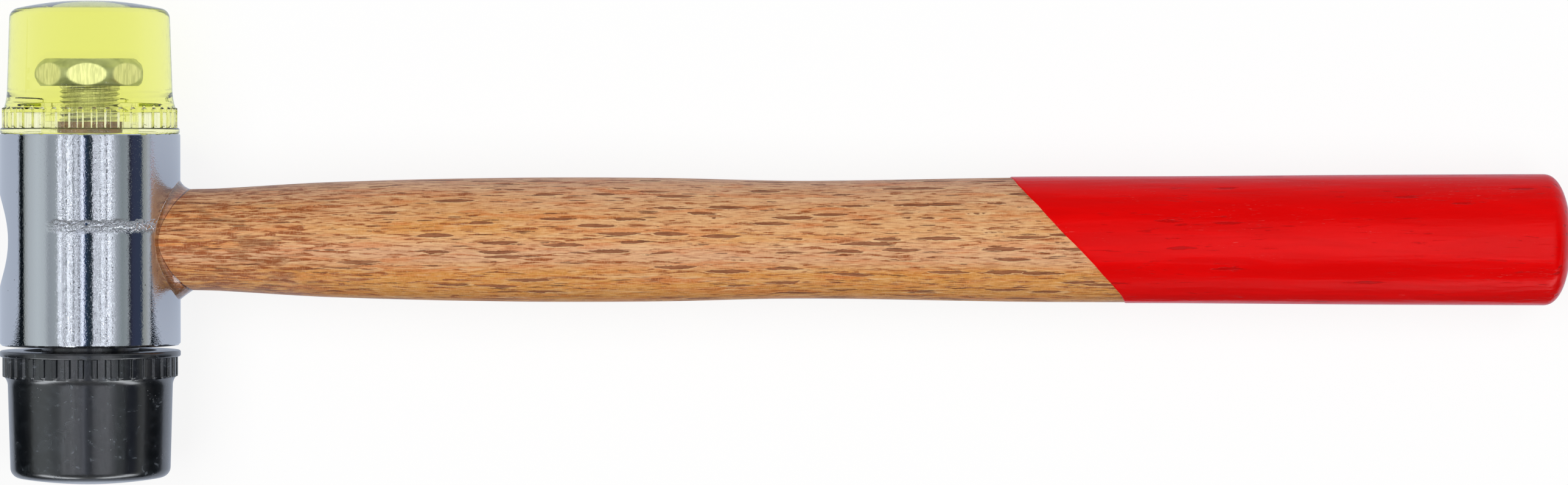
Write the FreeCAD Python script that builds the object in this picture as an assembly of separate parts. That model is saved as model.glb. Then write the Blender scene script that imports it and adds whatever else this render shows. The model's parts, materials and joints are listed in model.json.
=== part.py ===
# A panel beating hammer with two screw-on striking tips, lying flat on a bench.
# +X runs along the handle to its grip end, +Y along the head to the yellow tip, and +Z out of the bench.
# The origin is under the middle of the hammer's box, on the bench. All sizes are in millimetres.

import FreeCAD
import Part

import math
import os

# Head: a plated steel cylinder with a tapered oval eye across it
head_diameter = 35.0
head_length = 41.1
head_end_chamfer = 0.5
eye_mouth_height = 22.6
eye_mouth_thickness = 22.4
eye_back_height = 18.0
eye_back_thickness = 17.1
eye_edge_round = 0.6

# Screw thread that holds each tip, drawn as plain cylinders of its outer size
thread_diameter = 8.0
thread_clearance = 0.05
tapped_depth = 7.6
tapped_mouth_chamfer = 0.5
drill_diameter = 6.8
drill_point_angle = 118.0

# Hexagon bolt moulded into each tip
bolt_length = 16.0
hexagon_sides = 6
bolt_head_across_flats = 13.0
bolt_head_height = 5.3
bolt_head_under_diameter = 12.8
bolt_head_corner_diameter = 14.4
bolt_head_top_diameter = 11.6
bolt_head_turn = 32.0
bolt_end_chamfer = 1.0
bolt_head_above_seat = 9.2

# Fibre washer in the hub of each tip
washer_diameter = 12.6
washer_bore = 8.5
washer_thickness = 2.4
washer_pocket_clearance = 0.2

# What both tips share: hub, hollow round the hub, collar, flange and ribs
tip_height = 25.8
tip_hub_diameter = 18.9
tip_hollow_diameter = 25.8
tip_hollow_depth = 4.26
tip_collar_diameter = 33.3
tip_collar_height = 5.2
tip_body_foot_diameter = 32.2
tip_body_top_diameter = 31.2
tip_edge_round = 2.0
tip_flange_thickness = 1.2
tip_flange_round = 0.35
tip_land_diameter = 10.0
rib_count = 40
rib_width = 1.0
rib_outer_diameter = 34.3
rib_gap_below_collar_top = 0.1
shoulder_bend_share = 0.25

# What differs between the two tips
yellow_flange_diameter = 34.7
yellow_crown_radius = 68.0
yellow_shoulder_height = 3.9
yellow_hub_stands_out = 0.0
black_flange_diameter = 35.06
black_crown_radius = 90.0
black_shoulder_height = 2.2
black_hub_stands_out = 1.0

# Handle: its first section is placed from the head's axis, and each of the others from the one before
shoulder_from_head = 19.9
shoulder_height = 19.7
shoulder_thickness = 19.6
shoulder_to_neck = 5.2
neck_height = 19.95
neck_thickness = 19.4
neck_to_swell = 21.4
swell_height = 22.4
swell_thickness = 20.8
swell_to_belly = 33.5
belly_height = 24.1
belly_thickness = 21.7
belly_to_taper = 30.0
taper_height = 24.15
taper_thickness = 21.6
taper_to_waist = 29.0
waist_height = 23.0
waist_thickness = 20.8
waist_to_grip = 43.2
grip_height = 24.3
grip_thickness = 21.7
grip_to_palm = 29.8
palm_height = 24.5
palm_thickness = 22.1
palm_to_butt = 36.0
butt_height = 25.05
butt_thickness = 22.5
butt_to_dome = 36.0
handle_end_height = 25.35
handle_end_thickness = 22.8
handle_dome_length = 4.9
dome_angles = (0, 20, 40, 58, 73, 85)

# Tenon, the wedge in its kerf, and the glue round it
tenon_end_from_head_back = 2.5
glue_thickness = 0.35
glue_bead_round = 1.8
wedge_length = 12.0
wedge_thick_end = 2.6
wedge_thin_end = 0.8

# Dip coat on the grip, with a slanting edge
coat_thickness = 0.2
grip_to_coat_edge = 8.5
coat_edge_lean = 43.0

# How the model is drawn
oval_points = 16
handle_ovals = 24
full_turn = 360
overrun = 2.0
find_tolerance = 0.05

# Sizes worked out from those above
head_radius = head_diameter / 2
head_end = head_length / 2
thread_radius = thread_diameter / 2
black_flange_radius = black_flange_diameter / 2
tenon_end_from_head = head_radius - tenon_end_from_head_back
neck_from_head = shoulder_from_head + shoulder_to_neck
swell_from_head = neck_from_head + neck_to_swell
belly_from_head = swell_from_head + swell_to_belly
taper_from_head = belly_from_head + belly_to_taper
waist_from_head = taper_from_head + taper_to_waist
grip_from_head = waist_from_head + waist_to_grip
palm_from_head = grip_from_head + grip_to_palm
butt_from_head = palm_from_head + palm_to_butt
dome_from_head = butt_from_head + butt_to_dome
handle_reach = dome_from_head + handle_dome_length
coat_edge_from_head = grip_from_head + grip_to_coat_edge

origin = FreeCAD.Vector(0, 0, 0)
along_handle = FreeCAD.Vector(1, 0, 0)
along_head = FreeCAD.Vector(0, 1, 0)


def resting_angle():
    """The hammer lies on the rim of its black tip and on the underside of the grip's end.
    The grip touches where its straight part meets the dome, half a thickness below its axis."""
    low = handle_end_thickness / 2 + coat_thickness
    reach = math.hypot(dome_from_head, low)
    return math.asin(black_flange_radius / reach) - math.atan2(low, dome_from_head)


def placed(shape):
    """Turns a shape about the head's axis until the hammer rests, then moves it onto the origin."""
    angle = resting_angle()
    dome_length = handle_dome_length + coat_thickness
    dome_low = handle_end_thickness / 2 + coat_thickness
    far_x = dome_from_head * math.cos(angle)
    far_x += math.hypot(dome_length * math.cos(angle), dome_low * math.sin(angle))
    yellow_y = head_end + tip_height + yellow_hub_stands_out
    black_y = head_end + tip_height + black_hub_stands_out
    shape = shape.copy()
    shape.rotate(origin, along_head, math.degrees(angle))
    shape.translate(
        FreeCAD.Vector(
            (black_flange_radius - far_x) / 2,
            (black_y - yellow_y) / 2,
            black_flange_radius,
        )
    )
    return shape


def rod(radius, start, end):
    """A cylinder along the head's axis, from start to end."""
    return Part.makeCylinder(
        radius, end - start, FreeCAD.Vector(0, start, 0), along_head
    )


def turned(points):
    """A solid turned about the head's axis from an outline of (radius, place) corners."""
    corners = [FreeCAD.Vector(radius, place, 0) for radius, place in points]
    outline = Part.makePolygon(corners + corners[:1])
    return Part.Face(outline).revolve(origin, along_head, full_turn)


def oval(place, height, thickness):
    """An oval section across the handle, a smooth closed curve through points of an ellipse."""
    points = []
    for step in range(oval_points):
        turn = 2 * math.pi * step / oval_points
        across = height / 2 * math.cos(turn)
        points.append(FreeCAD.Vector(place, across, thickness / 2 * math.sin(turn)))
    curve = Part.BSplineCurve()
    curve.interpolate(points, True)
    return Part.Wire(curve.toShape())


# Head body


def eye_size(place):
    """Height and thickness of the tapered eye at a place along the handle's axis."""
    share = (place + head_radius) / head_diameter
    height = eye_back_height + (eye_mouth_height - eye_back_height) * share
    thickness = (
        eye_back_thickness + (eye_mouth_thickness - eye_back_thickness) * share
    )
    return height, thickness


def eye_plug(start, end):
    """The space of the eye between two places along the handle's axis."""
    sections = [oval(place, *eye_size(place)) for place in (start, end)]
    return Part.makeLoft(sections, True, True)


def tapped_hole():
    """A blind hole at the head's yellow end, with a drill point and a chamfered mouth."""
    bottom = head_end - tapped_depth
    drill_radius = drill_diameter / 2
    point = drill_radius / math.tan(math.radians(drill_point_angle / 2))
    mouth = thread_radius + tapped_mouth_chamfer
    return turned(
        [
            (0, bottom - point),
            (drill_radius, bottom),
            (thread_radius, bottom),
            (thread_radius, head_end - tapped_mouth_chamfer),
            (mouth, head_end),
            (mouth, head_end + overrun),
            (0, head_end + overrun),
        ]
    )


def eye_edges(shape):
    """The saddle-shaped edge where the eye runs out through the head's far side."""
    found = []
    for edge in shape.Edges:
        box = edge.BoundBox
        inside = max(abs(box.YMin), abs(box.YMax)) < head_end - head_end_chamfer
        ends = [edge.valueAt(edge.FirstParameter), edge.valueAt(edge.LastParameter)]
        on_side = all(
            abs(math.hypot(end.x, end.z) - head_radius) < find_tolerance
            for end in ends
        )
        if inside and on_side and box.XMax < 0:
            found.append(edge)
    return found


def make_head_body():
    blank = turned(
        [
            (0, -head_end),
            (head_radius - head_end_chamfer, -head_end),
            (head_radius, -head_end + head_end_chamfer),
            (head_radius, head_end - head_end_chamfer),
            (head_radius - head_end_chamfer, head_end),
            (0, head_end),
        ]
    )
    body = blank.cut(eye_plug(-head_radius - overrun, head_radius + overrun))
    body = body.makeFillet(eye_edge_round, eye_edges(body))
    hole = tapped_hole()
    far_hole = hole.copy()
    far_hole.rotate(origin, along_handle, full_turn / 2)
    return body.cut(hole).cut(far_hole)


# Handle, wedge, glue and grip coating


def handle_dome(skin):
    """The rounded end of the grip: ovals that shrink as a quarter ellipse, to a small flat."""
    ovals = []
    for angle in dome_angles:
        shrink = math.cos(math.radians(angle))
        step = (handle_dome_length + skin) * math.sin(math.radians(angle))
        height = (handle_end_height + 2 * skin) * shrink
        thickness = (handle_end_thickness + 2 * skin) * shrink
        ovals.append(oval(dome_from_head + step, height, thickness))
    return Part.makeLoft(ovals, True, False)


def smooth_through(stations, place):
    """Height and thickness at a place, on a smooth line through the handle's measured sections.
    Its slope at each station is that of the line between the station's two neighbours."""

    def slope(index, value):
        before = stations[max(index - 1, 0)]
        after = stations[min(index + 1, len(stations) - 1)]
        return (after[value] - before[value]) / (after[0] - before[0])

    first = 0
    while first < len(stations) - 2 and stations[first + 1][0] < place:
        first += 1
    start, end = stations[first], stations[first + 1]
    gap = end[0] - start[0]
    share = (place - start[0]) / gap
    rise = share * share * (3 - 2 * share)
    found = []
    for value in (1, 2):
        level = start[value] * (1 - rise) + end[value] * rise
        level += gap * share * (1 - share) ** 2 * slope(first, value)
        level -= gap * share**2 * (1 - share) * slope(first + 1, value)
        found.append(level)
    return found


def handle_body(skin=0):
    """The handle from the tenon's shoulder to its domed end, grown by skin all round."""
    stations = [
        (shoulder_from_head, shoulder_height, shoulder_thickness),
        (neck_from_head, neck_height, neck_thickness),
        (swell_from_head, swell_height, swell_thickness),
        (belly_from_head, belly_height, belly_thickness),
        (taper_from_head, taper_height, taper_thickness),
        (waist_from_head, waist_height, waist_thickness),
        (grip_from_head, grip_height, grip_thickness),
        (palm_from_head, palm_height, palm_thickness),
        (butt_from_head, butt_height, butt_thickness),
        (dome_from_head, handle_end_height, handle_end_thickness),
    ]
    ovals = []
    for step in range(handle_ovals):
        share = step / (handle_ovals - 1)
        place = shoulder_from_head + (dome_from_head - shoulder_from_head) * share
        height, thickness = smooth_through(stations, place)
        ovals.append(oval(place, height + 2 * skin, thickness + 2 * skin))
    return Part.makeLoft(ovals, True, False).fuse(handle_dome(skin))


def tenon():
    """The tapered stretch that fills the eye, less the glue round it, and runs just out of it."""
    height, thickness = eye_size(-tenon_end_from_head)
    return Part.makeLoft(
        [
            oval(
                -tenon_end_from_head,
                height - 2 * glue_thickness,
                thickness - 2 * glue_thickness,
            ),
            oval(shoulder_from_head, shoulder_height, shoulder_thickness),
        ],
        True,
        True,
    )


def make_wedge(wood):
    """A tapered slip across the tenon's end, flush with it and cut to its outline."""
    start = -tenon_end_from_head
    end = start + wedge_length
    room = eye_back_height
    corners = [
        FreeCAD.Vector(start, -room, -wedge_thick_end / 2),
        FreeCAD.Vector(end, -room, -wedge_thin_end / 2),
        FreeCAD.Vector(end, -room, wedge_thin_end / 2),
        FreeCAD.Vector(start, -room, wedge_thick_end / 2),
    ]
    outline = Part.Face(Part.makePolygon(corners + corners[:1]))
    return outline.extrude(FreeCAD.Vector(0, 2 * room, 0)).common(wood)


def make_glue(tenon_solid):
    """Glue fills the eye round the tenon, and a concave bead of it follows the mouth."""
    side = rod(head_radius, -head_end, head_end)
    joined = side.fuse(tenon_solid)
    seam = [
        edge
        for edge in joined.Edges
        if edge.BoundBox.XMin > 0
        and edge.BoundBox.XMax < shoulder_from_head - glue_bead_round / 2
        and edge.BoundBox.YLength > glue_bead_round
    ]
    bead = joined.makeFillet(glue_bead_round, seam).cut(side).cut(tenon_solid)
    filling = eye_plug(-tenon_end_from_head, head_radius + overrun)
    filling = filling.common(side).cut(tenon_solid)
    return filling.fuse(bead)


def make_coating(wood):
    """A thin skin on the grip, cut off by a plane that leans along the handle."""
    room = handle_reach
    beyond = Part.makeBox(
        2 * room, 2 * room, 2 * room, FreeCAD.Vector(0, -room, -room)
    )
    beyond.rotate(origin, FreeCAD.Vector(0, 0, 1), coat_edge_lean)
    beyond.translate(FreeCAD.Vector(coat_edge_from_head, 0, 0))
    return handle_body(coat_thickness).common(beyond).cut(wood)


# Striking tips, with their bolts and washers. Each is drawn along +Y from its seat on the steel.


def make_bolt():
    """A hexagon bolt, the corners of its head turned down and its shank pointing into the steel."""
    under = bolt_head_above_seat
    top = under + bolt_head_height
    corner = bolt_head_across_flats / 2 / math.cos(math.pi / hexagon_sides)
    corners = []
    for side in range(hexagon_sides):
        angle = math.radians(full_turn / hexagon_sides * side + bolt_head_turn)
        corners.append(
            FreeCAD.Vector(corner * math.sin(angle), under, corner * math.cos(angle))
        )
    hexagon = Part.Face(Part.makePolygon(corners + corners[:1]))
    head = hexagon.extrude(FreeCAD.Vector(0, bolt_head_height, 0))
    widest = (under + top) / 2
    head = head.common(
        turned(
            [
                (0, under),
                (bolt_head_under_diameter / 2, under),
                (bolt_head_corner_diameter / 2, widest),
                (bolt_head_top_diameter / 2, top),
                (0, top),
            ]
        )
    )
    end = under - bolt_length
    shank_radius = thread_radius - thread_clearance
    shank = turned(
        [
            (0, end),
            (shank_radius - bolt_end_chamfer, end),
            (shank_radius, end + bolt_end_chamfer),
            (shank_radius, widest),
            (0, widest),
        ]
    )
    return head.fuse(shank).removeSplitter()


def make_washer():
    ring = rod(washer_diameter / 2, 0, washer_thickness)
    return ring.cut(rod(washer_bore / 2, -overrun, washer_thickness + overrun))


def make_rib(start, end):
    """One upright rib with a round upper end, standing on the collar."""
    half = rib_width / 2
    root = (tip_hollow_diameter + tip_collar_diameter) / 4
    corners = [
        FreeCAD.Vector(root, start, -half),
        FreeCAD.Vector(root, end - half, -half),
        FreeCAD.Vector(root, end, 0),
        FreeCAD.Vector(root, end - half, half),
        FreeCAD.Vector(root, start, half),
    ]
    outline = Part.Wire(
        [
            Part.makeLine(corners[0], corners[1]),
            Part.Arc(corners[1], corners[2], corners[3]).toShape(),
            Part.makeLine(corners[3], corners[4]),
            Part.makeLine(corners[4], corners[0]),
        ]
    )
    stand_out = rib_outer_diameter / 2 - root
    return Part.Face(outline).extrude(FreeCAD.Vector(stand_out, 0, 0))


def tip_outline(rim, crown_radius, flange_diameter, shoulder_height):
    """Half the tip's section, as a face. Rim is how far the flange stands off the steel."""
    hub = tip_hub_diameter / 2
    hollow = tip_hollow_diameter / 2
    collar = tip_collar_diameter / 2
    foot = tip_body_foot_diameter / 2
    side = tip_body_top_diameter / 2
    land = tip_land_diameter / 2
    flange = flange_diameter / 2
    top = rim + tip_height
    crown_centre = top - math.sqrt(crown_radius**2 - land**2)
    collar_top = rim + tip_collar_height
    shoulder_top = collar_top + shoulder_height

    def corner(radius, place):
        return FreeCAD.Vector(radius, place, 0)

    def crown(radius):
        return corner(radius, crown_centre + math.sqrt(crown_radius**2 - radius**2))

    before = [
        corner(0, 0),
        corner(hub, 0),
        corner(hub, rim + tip_hollow_depth),
        corner(hollow, rim + tip_hollow_depth),
        corner(hollow, rim),
        corner(flange, rim),
        corner(flange, rim + tip_flange_thickness),
        corner(collar, rim + tip_flange_thickness),
        corner(collar, collar_top),
    ]
    bend = corner(
        foot + (collar - foot) * shoulder_bend_share, (collar_top + shoulder_top) / 2
    )
    shoulder = Part.Arc(before[-1], bend, corner(foot, shoulder_top)).toShape()
    dome = Part.Arc(crown(side), crown((side + land) / 2), crown(land)).toShape()
    after = Part.makePolygon([crown(land), corner(0, top), corner(0, 0)])
    flank = Part.makeLine(corner(foot, shoulder_top), crown(side))
    edges = Part.makePolygon(before).Edges + [shoulder, flank, dome] + after.Edges
    return Part.Face(Part.Wire(edges))


def rims(body, diameter, low, high):
    """The circular edges of one diameter about the head's axis, between two places on it."""
    found = []
    for edge in body.Edges:
        box = edge.BoundBox
        flat = box.YLength < find_tolerance
        fits = abs(box.ZLength - diameter) < find_tolerance
        if flat and fits and low < box.YMin < high:
            found.append(edge)
    return found


def rounded_tip(body, rim, flange_diameter):
    """Rounds both edges of the flange, then the striking edge."""
    middle = rim + tip_height / 2
    flange_edges = rims(body, flange_diameter, rim - overrun, middle)
    body = body.makeFillet(tip_flange_round, flange_edges)
    strike = rims(body, tip_body_top_diameter, middle, rim + tip_height)
    return body.makeFillet(tip_edge_round, strike)


def make_tip(rim, crown_radius, flange_diameter, shoulder_height, bolt):
    """A striking tip: its turned body, its ring of ribs, the washer's pocket and the bolt's bed."""
    outline = tip_outline(rim, crown_radius, flange_diameter, shoulder_height)
    body = outline.revolve(origin, along_head, full_turn)
    body = rounded_tip(body, rim, flange_diameter)
    start = rim + tip_flange_thickness / 2
    end = rim + tip_collar_height - rib_gap_below_collar_top
    rib = make_rib(start, end)
    ribs = []
    for place in range(rib_count):
        copy = rib.copy()
        copy.rotate(origin, along_head, full_turn * place / rib_count)
        ribs.append(copy)
    body = body.multiFuse(ribs).removeSplitter()
    pocket = rod(
        washer_diameter / 2 + washer_pocket_clearance, -overrun, washer_thickness
    )
    return body.cut(pocket).cut(bolt)


def tip_set(colour, rim, crown_radius, flange_diameter, shoulder_height, turn):
    """A tip with its bolt and washer, seated on one end of the head."""
    bolt = make_bolt()
    pieces = {
        colour + "_tip": make_tip(
            rim, crown_radius, flange_diameter, shoulder_height, bolt
        ),
        colour + "_tip_bolt": bolt,
        colour + "_tip_washer": make_washer(),
    }
    for piece in pieces.values():
        piece.translate(FreeCAD.Vector(0, head_end, 0))
        piece.rotate(origin, along_handle, turn)
    return pieces


def make_hammer():
    """Every piece of the hammer, by name, in its own place about the head's middle."""
    head = make_head_body()
    tenon_solid = tenon()
    grip_solid = handle_body()
    wedge = make_wedge(tenon_solid)
    wood = tenon_solid.fuse(grip_solid).removeSplitter().cut(wedge)
    pieces = {
        "head_body": head,
        "handle": wood,
        "handle_wedge": wedge,
        "glue_joint": make_glue(tenon_solid),
        "grip_coating": make_coating(grip_solid),
    }
    pieces |= tip_set(
        "yellow",
        yellow_hub_stands_out,
        yellow_crown_radius,
        yellow_flange_diameter,
        yellow_shoulder_height,
        0,
    )
    pieces |= tip_set(
        "black",
        black_hub_stands_out,
        black_crown_radius,
        black_flange_diameter,
        black_shoulder_height,
        full_turn / 2,
    )
    return pieces


os.makedirs("parts", exist_ok=True)
for name, shape in make_hammer().items():
    shape = placed(shape)
    print(
        name,
        len(shape.Solids),
        shape.isValid(),
        round(shape.Volume, 1),
        [round(v, 2) for v in (shape.BoundBox.XMin, shape.BoundBox.XMax)],
        [round(v, 2) for v in (shape.BoundBox.YMin, shape.BoundBox.YMax)],
        [round(v, 2) for v in (shape.BoundBox.ZMin, shape.BoundBox.ZMax)],
    )
    shape.exportStep("parts/" + name + ".step")
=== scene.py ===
# A panel beating hammer lying on a pale bench: the finish of every piece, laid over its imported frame.
import bpy
import bmesh
import json
import math
import numpy as np
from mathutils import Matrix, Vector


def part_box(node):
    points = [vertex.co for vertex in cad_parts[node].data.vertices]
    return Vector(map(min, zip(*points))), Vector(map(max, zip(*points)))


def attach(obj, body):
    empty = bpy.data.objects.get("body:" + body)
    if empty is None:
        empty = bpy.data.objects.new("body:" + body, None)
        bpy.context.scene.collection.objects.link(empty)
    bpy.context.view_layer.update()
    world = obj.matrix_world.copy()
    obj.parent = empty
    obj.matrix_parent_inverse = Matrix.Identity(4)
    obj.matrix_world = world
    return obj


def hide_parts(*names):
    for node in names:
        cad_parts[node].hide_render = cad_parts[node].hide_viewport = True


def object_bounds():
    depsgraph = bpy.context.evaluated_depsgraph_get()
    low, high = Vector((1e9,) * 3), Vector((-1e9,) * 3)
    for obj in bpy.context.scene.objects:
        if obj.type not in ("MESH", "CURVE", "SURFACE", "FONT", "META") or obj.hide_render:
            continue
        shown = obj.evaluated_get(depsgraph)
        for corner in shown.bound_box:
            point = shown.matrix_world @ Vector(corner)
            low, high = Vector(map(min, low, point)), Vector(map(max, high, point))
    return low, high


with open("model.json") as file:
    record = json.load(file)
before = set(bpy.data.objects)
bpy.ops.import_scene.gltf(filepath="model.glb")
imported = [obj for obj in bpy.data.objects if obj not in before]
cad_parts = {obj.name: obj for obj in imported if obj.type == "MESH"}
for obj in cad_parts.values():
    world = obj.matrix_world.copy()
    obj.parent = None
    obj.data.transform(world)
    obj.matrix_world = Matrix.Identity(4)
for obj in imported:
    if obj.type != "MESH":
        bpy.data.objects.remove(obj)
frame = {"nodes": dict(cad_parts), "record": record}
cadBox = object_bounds()
print("frame loaded:", len(frame["nodes"]), "nodes")

# The hammer's own directions: along the handle, across it along the head, and up. Lengths are in mm.
mm = 0.001
headLow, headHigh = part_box("head_body")
headCentre = (headLow + headHigh) / 2
gripAxis = next(m["axis"] for m in frame["record"]["mounts"] if m["name"] == "grip")
tilt = math.atan2(-gripAxis[2], gripAxis[0])  # how far the handle slopes down to its end


def toFrame(along, across, up):
    # Turns a point by the tilt about the head's axis and moves it onto that axis, in metres
    along, across, up = np.broadcast_arrays(along, across, up)
    x = headCentre.x + mm * (along * math.cos(tilt) + up * math.sin(tilt))
    z = headCentre.z + mm * (up * math.cos(tilt) - along * math.sin(tilt))
    return np.stack([x, headCentre.y + mm * across, z], axis=-1)


# Meshes from grids of points


def gridFaces(rows, columns, loop):
    # Quads of a grid whose columns close on themselves, and whose rows do too where loop is true
    i = np.arange(rows if loop else rows - 1)[:, None]
    j = np.arange(columns)[None, :]
    here, there, after = i * columns, (i + 1) % rows * columns, (j + 1) % columns
    return np.stack([here + j, here + after, there + after, there + j], -1).reshape(-1, 4)


def fanFaces(pole, first, columns):
    # Triangles from one pole point to a row of points that starts at index first
    j = np.arange(columns)
    return np.stack([np.full(columns, pole), first + (j + 1) % columns, first + j], -1)


def enclosed(points, faces):
    # Six times the volume that a list of faces encloses, positive where they point outwards
    corner = points[faces[:, 0]]
    total = 0.0
    for k in range(1, faces.shape[1] - 1):
        total += np.einsum("ij,ij->", corner, np.cross(points[faces[:, k]], points[faces[:, k + 1]]))
    return total


def addObject(name, points, faces, material):
    mesh = bpy.data.meshes.new(name)
    mesh.from_pydata(points, [], faces)
    mesh.materials.append(material)
    piece = bpy.data.objects.new(name, mesh)
    bpy.context.scene.collection.objects.link(piece)
    return piece


def newPiece(name, points, faceLists, material, sharp=34):
    # One closed mesh, its faces turned outwards, smooth except across edges sharper than the given angle
    total = sum(enclosed(points - points.mean(0), faces) for faces in faceLists)
    order = 1 if total > 0 else -1
    faces = [face for faces in faceLists for face in faces[:, ::order].tolist()]
    piece = addObject(name, points.tolist(), faces, material)
    mesh, joined = piece.data, bmesh.new()
    joined.from_mesh(mesh)
    bmesh.ops.remove_doubles(joined, verts=joined.verts, dist=2e-7)
    joined.to_mesh(mesh)
    joined.free()
    mesh.polygons.foreach_set("use_smooth", np.ones(len(mesh.polygons), bool))
    mesh.set_sharp_from_angle(angle=math.radians(sharp))
    return piece


def tubePiece(name, rows, poles, material, sharp=34):
    # Rows of rings, closed at both ends by a pole point each
    count, columns = rows.shape[:2]
    points = np.concatenate([rows.reshape(-1, 3), poles])
    last = count * columns
    fans = [fanFaces(last, 0, columns), fanFaces(last + 1, last - columns, columns)[:, ::-1]]
    return newPiece(name, points, [gridFaces(count, columns, False), *fans], material, sharp)


def ringPiece(name, rows, material, sharp=34):
    # Rows of rings that come back to the first row, as a tyre does
    count, columns = rows.shape[:2]
    return newPiece(name, rows.reshape(-1, 3), [gridFaces(count, columns, True)], material, sharp)


def markPoints(piece, name, values):
    # One number for each point of the mesh, which the piece's finish reads
    layer = piece.data.attributes.new(name, "FLOAT", "POINT")
    layer.data.foreach_set("value", values)


def dress(piece, body, replaced):
    # Lays a piece over the node that it stands for, on the body that carries it
    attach(piece, body)
    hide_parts(replaced)


def roundedPath(corners, step, arcSteps=8):
    # A line through corners (radius, place, rounding). A rounding is an arc that touches both runs at its
    # corner, and straight runs are cut so that no two points lie more than step apart.
    path = [np.array(corners[0][:2], float)]
    for before, here, after in zip(corners, corners[1:], corners[2:]):
        tip = np.array(here[:2], float)
        if len(here) < 3:
            path.append(tip)
            continue
        back, on = np.array(before[:2]) - tip, np.array(after[:2]) - tip
        back, on = back / np.linalg.norm(back), on / np.linalg.norm(on)
        half = math.acos(np.clip(back @ on, -1, 1)) / 2
        bisector = (back + on) / np.linalg.norm(back + on)
        centre = tip + bisector * here[2] / math.sin(half)
        start = tip + back * here[2] / math.tan(half) - centre
        end = tip + on * here[2] / math.tan(half) - centre
        turn = math.atan2(start[0] * end[1] - start[1] * end[0], start @ end)
        for share in np.linspace(0, 1, arcSteps + 1):
            c, s = math.cos(turn * share), math.sin(turn * share)
            path.append(centre + np.array([start[0] * c - start[1] * s, start[0] * s + start[1] * c]))
    path.append(np.array(corners[-1][:2], float))
    points = [path[0]]
    for here, there in zip(path, path[1:]):
        cuts = max(1, math.ceil(np.linalg.norm(there - here) / step - 1e-6))
        points += [here + (there - here) * k / cuts for k in range(1, cuts + 1)]
    return np.array(points)


def smoothThrough(places, values, at):
    # A smooth line through stations: cubic pieces whose slope at each station is its neighbours' chord's
    places, values = np.array(places, float), np.array(values, float)
    station, last = np.arange(len(places)), len(places) - 1
    after, before = np.minimum(station + 1, last), np.maximum(station - 1, 0)
    slopes = (values[after] - values[before]) / (places[after] - places[before])
    i = np.clip(np.searchsorted(places, at) - 1, 0, len(places) - 2)
    gap = places[i + 1] - places[i]
    t = np.clip((at - places[i]) / gap, 0, 1)
    return ((1 + 2 * t) * (1 - t) ** 2 * values[i] + t * (1 - t) ** 2 * gap * slopes[i]
            + t * t * (3 - 2 * t) * values[i + 1] - t * t * (1 - t) * gap * slopes[i + 1])


def bowed(start, pull, end, t):
    # A curve of second degree from start to end, which leaves the one and meets the other in line with pull
    return (1 - t) ** 2 * start + 2 * t * (1 - t) * pull + t * t * end


def turnsRound(columns):
    # The angles of columns spread evenly round a ring
    return np.arange(columns) * 2 * math.pi / columns


def wavesRound(turn, waves):
    # Waves round a ring, added up. Each has a size, a number of crests and a starting angle.
    return sum(size * np.sin(count * turn + start) for size, count, start in waves)


# Shader trees


class Wire:
    # A socket's output. Sums of wires add Math nodes to its board.
    def __init__(self, board, socket):
        self.board, self.socket = board, socket

    def calc(self, operation, *parts):
        return self.board.add("ShaderNodeMath", {"operation": operation}, dict(enumerate(parts)))

    def __add__(self, other):
        return self.calc("ADD", self, other)

    def __sub__(self, other):
        return self.calc("SUBTRACT", self, other)

    def __rsub__(self, other):
        return self.calc("SUBTRACT", other, self)

    def __mul__(self, other):
        return self.calc("MULTIPLY", self, other)

    def __truediv__(self, other):
        return self.calc("DIVIDE", self, other)

    def __pow__(self, other):
        return self.calc("POWER", self, other)

    __radd__, __rmul__ = __add__, __mul__

    def other(self, name):
        # Another output of the same node
        return Wire(self.board, self.socket.node.outputs[name])

    def size(self):
        return self.calc("ABSOLUTE", self)

    def clamped(self):
        return self.board.add("ShaderNodeClamp", {}, {"Value": self})

    def between(self, low, high):
        # 0 below low, 1 above high, and smooth between them
        return self.board.add("ShaderNodeMapRange", {"interpolation_type": "SMOOTHSTEP"},
                              {"Value": self, "From Min": low, "From Max": high})


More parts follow.
